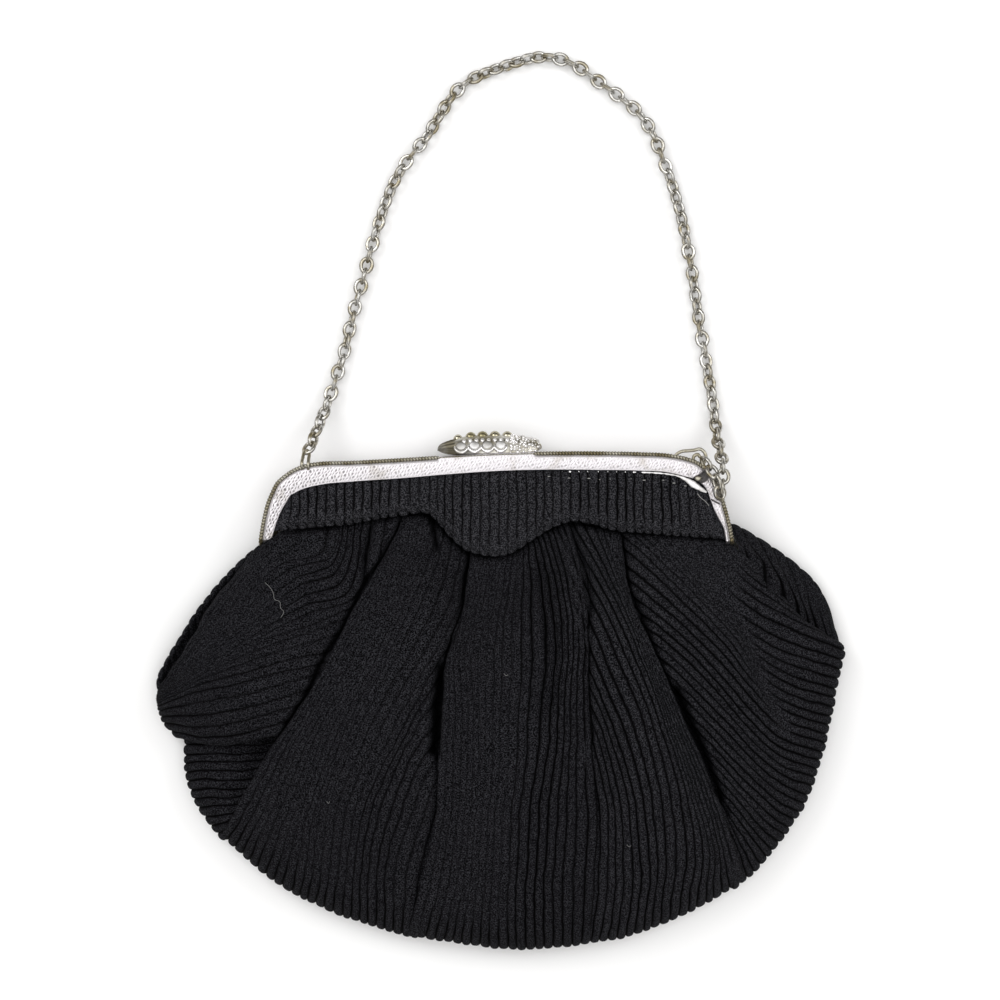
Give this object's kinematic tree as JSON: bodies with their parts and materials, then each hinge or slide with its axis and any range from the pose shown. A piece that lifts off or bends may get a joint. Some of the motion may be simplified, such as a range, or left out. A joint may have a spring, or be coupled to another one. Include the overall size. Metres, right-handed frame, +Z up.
{
  "type": "pleated evening bag",
  "caption": "Soft gathered evening bag of ribbed black cloth on a silver metal frame, with a beaded lift clasp and a chain handle, lying on its back.",
  "frame": {"origin": "on the flat back of the pouch, on the surface that the bag lies on", "axes": "+X across the bag to the right, +Y from the pouch towards the frame and chain, +Z up from the surface"},
  "size_m": [0.2541, 0.3308, 0.0341],
  "materials": {
    "ribbed_cloth": "matt black crepe with pressed ribs",
    "frame_metal": "silver tone, stippled and a little worn",
    "clasp_metal": "silver tone, polished beads",
    "chain_metal": "silver tone, polished, slightly tarnished"
  },
  "bodies": {
    "bag": {"pleated_pouch": "ribbed_cloth", "front_yoke": "ribbed_cloth", "back_yoke": "ribbed_cloth", "front_frame": "frame_metal", "back_frame": "frame_metal", "hinge_pin_left": "frame_metal", "hinge_pin_right": "frame_metal", "chain_lug_left": "chain_metal", "chain_lug_right": "chain_metal", "clasp_hinge": "clasp_metal", "chain": "chain_metal"},
    "clasp": {"clasp_lever": "clasp_metal"}
  },
  "joints": [
    {"name": "clasp_lift", "type": "hinge", "parent": "bag", "child": "clasp", "pos_m": [0, 0.0894, 0.0033], "axis": [-1, 0, 0], "range_deg": [0, 40]}
  ]
}
